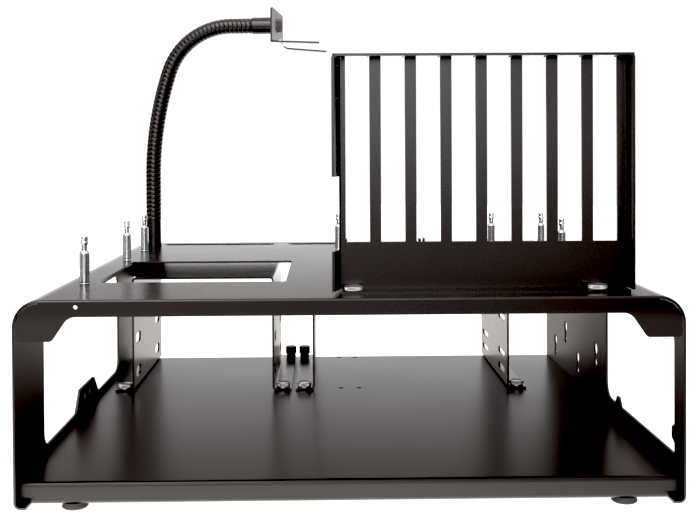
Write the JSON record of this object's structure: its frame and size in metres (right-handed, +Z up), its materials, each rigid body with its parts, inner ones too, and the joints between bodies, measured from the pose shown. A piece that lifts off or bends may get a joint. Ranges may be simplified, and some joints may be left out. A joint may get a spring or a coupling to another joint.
{
  "type": "open pc test bench",
  "caption": "Open bench of folded black sheet that holds a computer board on pins, cards in a slotted rack, drives in cages below, and a fan on a flexible arm.",
  "frame": {"origin": "on the table under the middle of the deck", "axes": "+X to the right seen from the card rack's side, +Y to the back, +Z up"},
  "size_m": [0.3696, 0.345, 0.3178],
  "materials": {
    "sheet_black": "satin powder coat",
    "arm_black": "gloss black plate",
    "screw_black": "black, knurled",
    "nickel": "bright nickel",
    "zinc": "zinc plate",
    "rubber": "matt"
  },
  "bodies": {
    "bench": {"frame_shell": "sheet_black", "base_tray": "sheet_black", "drive_cage": "sheet_black", "bay_cage": "sheet_black", "card_rack": "sheet_black", "cage_press_nuts": "zinc", "rack_press_nuts": "zinc", "standoff_nuts": "zinc", "standoff_01": "nickel", "standoff_02": "nickel", "standoff_03": "nickel", "standoff_04": "nickel", "standoff_05": "nickel", "standoff_06": "nickel", "standoff_07": "nickel", "standoff_08": "nickel", "standoff_09": "nickel", "standoff_10": "nickel", "standoff_11": "nickel", "foot_front_left": "rubber", "foot_front_right": "rubber", "foot_rear_left": "rubber", "foot_rear_right": "rubber"},
    "arm": {"arm_base_ferrule": "arm_black", "arm_base_nut": "zinc", "flex_arm": "arm_black", "arm_end_ferrule": "arm_black", "bracket_nut": "screw_black"},
    "bracket": {"fan_bracket": "zinc"},
    "drive_screw_front_left": {"drive_screw_front_left": "nickel"},
    "drive_screw_front_right": {"drive_screw_front_right": "nickel"},
    "drive_screw_rear_left": {"drive_screw_rear_left": "screw_black"},
    "drive_screw_rear_right": {"drive_screw_rear_right": "screw_black"},
    "bay_screw_front_left": {"bay_screw_front_left": "nickel"},
    "bay_screw_front_right": {"bay_screw_front_right": "nickel"},
    "bay_screw_rear_left": {"bay_screw_rear_left": "screw_black"},
    "bay_screw_rear_right": {"bay_screw_rear_right": "screw_black"},
    "rack_screw_left": {"rack_screw_left": "nickel"},
    "rack_screw_right": {"rack_screw_right": "nickel"}
  },
  "joints": [
    {"name": "arm_swivel", "type": "hinge", "parent": "bench", "child": "arm", "pos_m": [-0.1613, 0.1495, 0.1183], "axis": [0, 0, 1], "range_deg": [-90, 90]},
    {"name": "bracket_swivel", "type": "hinge", "parent": "arm", "child": "bracket", "pos_m": [-0.05484, 0.13831, 0.30558], "axis": [0.9945, -0.1045, 0], "range_deg": [-90, 90]},
    {"name": "drive_screw_front_left_turn", "type": "hinge", "parent": "bench", "child": "drive_screw_front_left", "pos_m": [-0.1673, 0.0505, 0.018], "axis": [0, 0, 1], "continuous": true},
    {"name": "drive_screw_front_right_turn", "type": "hinge", "parent": "bench", "child": "drive_screw_front_right", "pos_m": [-0.0464, 0.0505, 0.018], "axis": [0, 0, 1], "continuous": true},
    {"name": "drive_screw_rear_left_turn", "type": "hinge", "parent": "bench", "child": "drive_screw_rear_left", "pos_m": [-0.1694, 0.1655, 0.018], "axis": [0, 0, 1], "continuous": true},
    {"name": "drive_screw_rear_right_turn", "type": "hinge", "parent": "bench", "child": "drive_screw_rear_right", "pos_m": [-0.0443, 0.1655, 0.018], "axis": [0, 0, 1], "continuous": true},
    {"name": "bay_screw_front_left_turn", "type": "hinge", "parent": "bench", "child": "bay_screw_front_left", "pos_m": [-0.0303, 0.0505, 0.018], "axis": [0, 0, 1], "continuous": true},
    {"name": "bay_screw_front_right_turn", "type": "hinge", "parent": "bench", "child": "bay_screw_front_right", "pos_m": [0.1329, 0.0505, 0.018], "axis": [0, 0, 1], "continuous": true},
    {"name": "bay_screw_rear_left_turn", "type": "hinge", "parent": "bench", "child": "bay_screw_rear_left", "pos_m": [-0.0324, 0.1655, 0.018], "axis": [0, 0, 1], "continuous": true},
    {"name": "bay_screw_rear_right_turn", "type": "hinge", "parent": "bench", "child": "bay_screw_rear_right", "pos_m": [0.135, 0.1655, 0.018], "axis": [0, 0, 1], "continuous": true},
    {"name": "rack_screw_left_turn", "type": "hinge", "parent": "bench", "child": "rack_screw_left", "pos_m": [0.0021, -0.1518, 0.1198], "axis": [0, 0, 1], "continuous": true},
    {"name": "rack_screw_right_turn", "type": "hinge", "parent": "bench", "child": "rack_screw_right", "pos_m": [0.1411, -0.1518, 0.1198], "axis": [0, 0, 1], "continuous": true}
  ]
}
